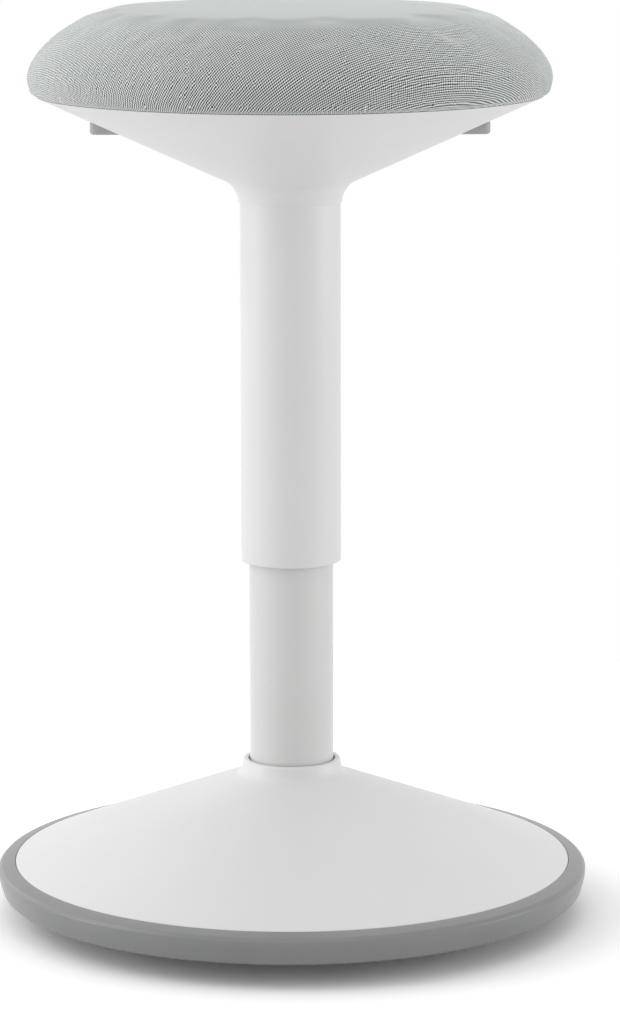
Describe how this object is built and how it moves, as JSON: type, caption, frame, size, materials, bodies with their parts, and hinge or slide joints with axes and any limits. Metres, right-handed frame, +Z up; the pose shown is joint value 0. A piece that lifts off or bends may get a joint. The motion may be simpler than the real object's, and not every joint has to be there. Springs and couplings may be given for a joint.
{
  "type": "wobble stool",
  "caption": "Round upholstered wobble stool on a telescopic gas column with a white cone shell, release lever and weighted rocking base",
  "frame": {"origin": "centre of the flat sole pad on the floor, on the column's axis", "axes": "+Z up along the column, -Y towards the front of the stool, +X to the right as seen from the front; the release lever is at the back, towards +Y"},
  "size_m": [0.354, 0.354, 0.5437],
  "materials": {
    "rubber_grey": "matt moulded",
    "pan_grey": "fine texture",
    "ring_grey": "satin moulded",
    "white_plastic": "satin",
    "lever_plastic": "satin",
    "white_paint": "satin powder coat",
    "zinc_steel": "zinc plated",
    "bearing_steel": "ground",
    "black_steel": "black powder coat",
    "iron": "as cast, oiled",
    "turned_aluminium": "turned",
    "bush_plastic": "natural moulded",
    "black_rubber": "matt",
    "plywood": "raw birch",
    "foam": "open cell foam",
    "grey_fabric": "fine twill mesh"
  },
  "bodies": {
    "base": {"sole_pad": "rubber_grey", "base_pan": "pan_grey", "rim_ring": "ring_grey", "base_cover": "white_plastic", "cover_screws": "zinc_steel", "counterweight": "iron", "weight_screws": "zinc_steel", "hub_plate": "black_steel", "hub_screws": "zinc_steel", "hub_sleeve": "black_steel", "column_tube": "white_paint", "column_floor": "black_steel", "guide_bush": "bush_plastic", "lower_washer": "bearing_steel"},
    "bearing": {"ball_cage": "bush_plastic", "bearing_balls": "bearing_steel"},
    "rod": {"upper_washer": "bearing_steel", "piston_rod": "bearing_steel", "rod_clip": "zinc_steel", "foot_washer": "zinc_steel", "bump_buffer": "black_rubber", "piston": "turned_aluminium", "piston_seal": "black_rubber"},
    "seat": {"gas_cylinder": "black_steel", "rod_gland": "turned_aluminium", "valve_body": "turned_aluminium", "cover_tube": "white_plastic", "glide_ring": "bush_plastic", "seat_shell": "white_plastic", "shell_screws": "zinc_steel", "mechanism_plate": "black_steel", "mechanism_channel": "black_steel", "taper_socket": "black_steel", "pivot_pin": "bearing_steel", "pivot_clips": "zinc_steel", "plate_bolts": "zinc_steel", "tee_nuts": "zinc_steel", "seat_board": "plywood", "seat_foam": "foam", "seat_cover": "grey_fabric"},
    "lever": {"lever_paddle": "lever_plastic", "lever_arm": "zinc_steel", "lever_screws": "zinc_steel"},
    "valve": {"valve_pin": "bearing_steel"}
  },
  "joints": [
    {"name": "seat_swivel", "type": "hinge", "parent": "base", "child": "rod", "pos_m": [0, 0, 0.02], "axis": [0, 0, 1], "continuous": true},
    {"name": "bearing_turn", "type": "hinge", "parent": "base", "child": "bearing", "pos_m": [0, 0, 0.025], "axis": [0, 0, 1], "continuous": true},
    {"name": "seat_height", "type": "slide", "parent": "rod", "child": "seat", "axis": [0, 0, 1], "range_m": [-0.09, 0.11]},
    {"name": "lever_lift", "type": "hinge", "parent": "seat", "child": "lever", "pos_m": [0, 0.034, 0.484], "axis": [1, 0, 0], "range_deg": [0, 5.2], "stiffness_Nm_per_rad": 6, "springref_deg": -14.32},
    {"name": "valve_press", "type": "slide", "parent": "seat", "child": "valve", "axis": [0, 0, -1], "range_m": [0, 0.0032]}
  ],
  "couplings": [
    {"joint": "bearing_turn", "follows": "seat_swivel", "ratio": 0.5},
    {"joint": "valve_press", "follows": "lever_lift", "m_per_rad": 0.034}
  ]
}
